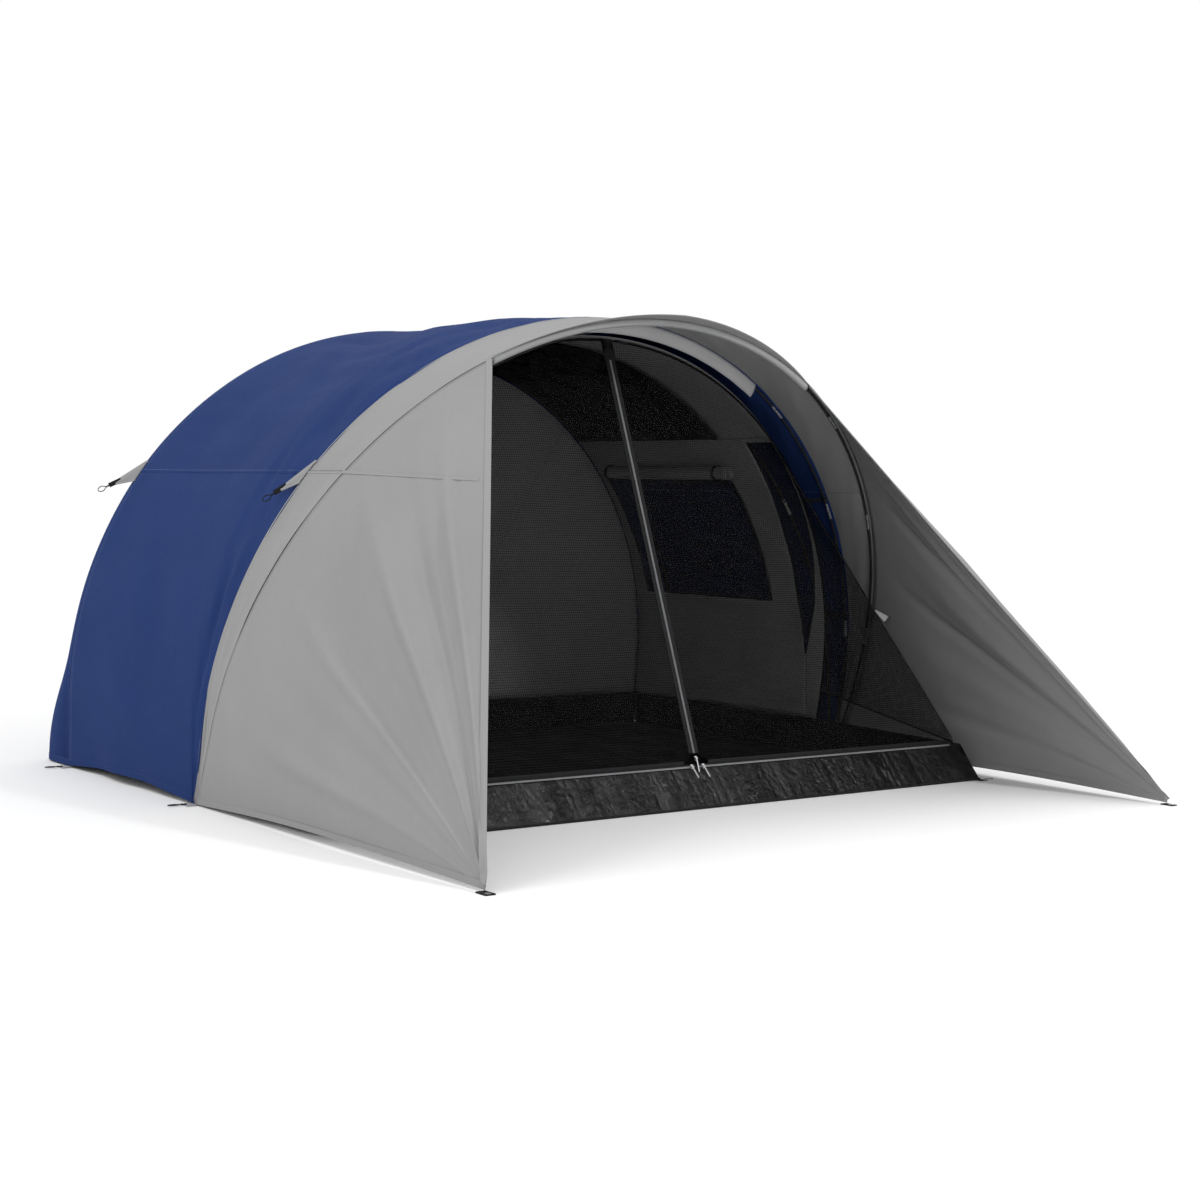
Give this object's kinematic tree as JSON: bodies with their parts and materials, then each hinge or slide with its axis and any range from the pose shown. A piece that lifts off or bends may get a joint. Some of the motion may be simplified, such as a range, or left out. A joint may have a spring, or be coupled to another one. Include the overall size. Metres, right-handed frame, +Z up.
{
  "type": "tunnel tent",
  "caption": "Tunnel tent on fibreglass hoops with a two-colour fly sheet, open porch with side wings, and an inner tent with zipped mesh door.",
  "frame": {"origin": "on the ground at the centre of the bounding box", "axes": "+Z up, -Y out of the door, +X to the right of a person who faces the same way as +Y"},
  "size_m": [2.9092, 2.7666, 1.5868],
  "materials": {
    "pole_glass_fibre": "black glass-fibre tube, low gloss",
    "ferrule_steel": "bright drawn tube",
    "pin_steel": "zinc plated",
    "shock_cord": "braided elastic",
    "grey_webbing": "woven polyester webbing",
    "black_webbing": "woven polyester webbing",
    "blue_fabric": "coated polyester taffeta",
    "grey_fabric": "coated polyester taffeta",
    "sleeve_fabric": "polyester taffeta",
    "inner_fabric": "breathable polyester",
    "roof_mesh": "knitted mesh",
    "window_mesh": "knitted mesh",
    "door_mesh": "knitted mesh",
    "groundsheet": "woven polyethylene, semi-gloss",
    "sill_sheet": "crumpled woven polyethylene, glossy",
    "binding": "bias tape",
    "black_plastic": "moulded plastic",
    "blind_fabric": "breathable polyester",
    "zip_coil": "nylon coil on tape",
    "zip_metal": "die cast, plated",
    "black_cord": "braided polyester cord"
  },
  "bodies": {
    "root": {"rear_hoop": "pole_glass_fibre", "back_hoop": "pole_glass_fibre", "main_hoop": "pole_glass_fibre", "front_hoop": "pole_glass_fibre", "hoop_ferrules": "ferrule_steel", "hoop_shock_cords": "shock_cord", "hoop_foot_pins": "pin_steel", "hoop_foot_webbing": "grey_webbing", "rear_hoop_sleeve": "blue_fabric", "back_hoop_sleeve": "blue_fabric", "main_hoop_sleeve": "sleeve_fabric", "front_hoop_sleeve": "grey_fabric", "fly_rear_panel": "blue_fabric", "fly_main_panel": "blue_fabric", "porch_canopy": "grey_fabric", "porch_wing_left": "grey_fabric", "porch_wing_right": "grey_fabric", "wing_tip_tabs": "black_webbing", "groundsheet_floor": "groundsheet", "tub_wall_left": "groundsheet", "tub_wall_right": "groundsheet", "tub_wall_rear": "groundsheet", "front_sill": "sill_sheet", "floor_corner_tabs": "black_webbing", "inner_side_wall_left": "inner_fabric", "inner_side_wall_right": "inner_fabric", "inner_rear_wall": "inner_fabric", "inner_front_band": "inner_fabric", "inner_roof_mesh": "roof_mesh", "inner_front_binding": "binding", "inner_hook_straps": "black_webbing", "inner_hooks": "black_plastic", "window_mesh_left": "window_mesh", "window_mesh_right": "window_mesh", "crescent_mesh_left": "window_mesh", "crescent_mesh_right": "window_mesh", "window_blinds": "blind_fabric", "blind_loops": "black_webbing", "front_mesh_left": "door_mesh", "front_mesh_right": "door_mesh", "side_mesh_left": "door_mesh", "side_mesh_right": "door_mesh", "tieback_tabs": "grey_webbing", "tieback_toggles": "black_plastic", "sill_zip": "zip_coil", "guy_patches": "grey_fabric", "guy_webbing": "black_webbing", "cord_loops": "black_cord"},
    "left_leaf": {"door_leaf_left": "door_mesh", "door_zip_left": "zip_coil"},
    "right_leaf": {"door_leaf_right": "door_mesh", "door_zip_right": "zip_coil"},
    "door_zip_slider": {"door_slider": "zip_metal"},
    "door_zip_pull": {"door_pull": "zip_metal"},
    "left_sill_slider": {"sill_slider_left": "zip_metal"},
    "left_sill_pull": {"sill_pull_left": "zip_metal"},
    "right_sill_slider": {"sill_slider_right": "zip_metal"},
    "right_sill_pull": {"sill_pull_right": "zip_metal"}
  },
  "joints": [
    {"name": "left_leaf_swing", "type": "hinge", "parent": "root", "child": "left_leaf", "pos_m": [-1.24, -0.5585, 0.118], "axis": [-0.6414, -0.2716, -0.7175], "range_deg": [0, 90]},
    {"name": "right_leaf_swing", "type": "hinge", "parent": "root", "child": "right_leaf", "pos_m": [1.24, -0.5585, 0.118], "axis": [-0.6414, 0.2716, 0.7175], "range_deg": [0, 90]},
    {"name": "door_zip_slide", "type": "slide", "parent": "root", "child": "door_zip_slider", "axis": [0, 0.354, 0.9352], "range_m": [0, 1.36]},
    {"name": "door_pull_flip", "type": "hinge", "parent": "door_zip_slider", "child": "door_zip_pull", "pos_m": [0, -0.55594, 0.14483], "axis": [-1, 0, 0], "range_deg": [0, 150]},
    {"name": "left_sill_zip_slide", "type": "slide", "parent": "root", "child": "left_sill_slider", "axis": [-1, 0, 0], "range_m": [0, 1.12]},
    {"name": "left_sill_pull_flip", "type": "hinge", "parent": "left_sill_slider", "child": "left_sill_pull", "pos_m": [-0.024, -0.56514, 0.12051], "axis": [-1, 0, 0], "range_deg": [0, 126]},
    {"name": "right_sill_zip_slide", "type": "slide", "parent": "root", "child": "right_sill_slider", "axis": [1, 0, 0], "range_m": [0, 1.12]},
    {"name": "right_sill_pull_flip", "type": "hinge", "parent": "right_sill_slider", "child": "right_sill_pull", "pos_m": [0.024, -0.56514, 0.12051], "axis": [-1, 0, 0], "range_deg": [0, 126]}
  ]
}
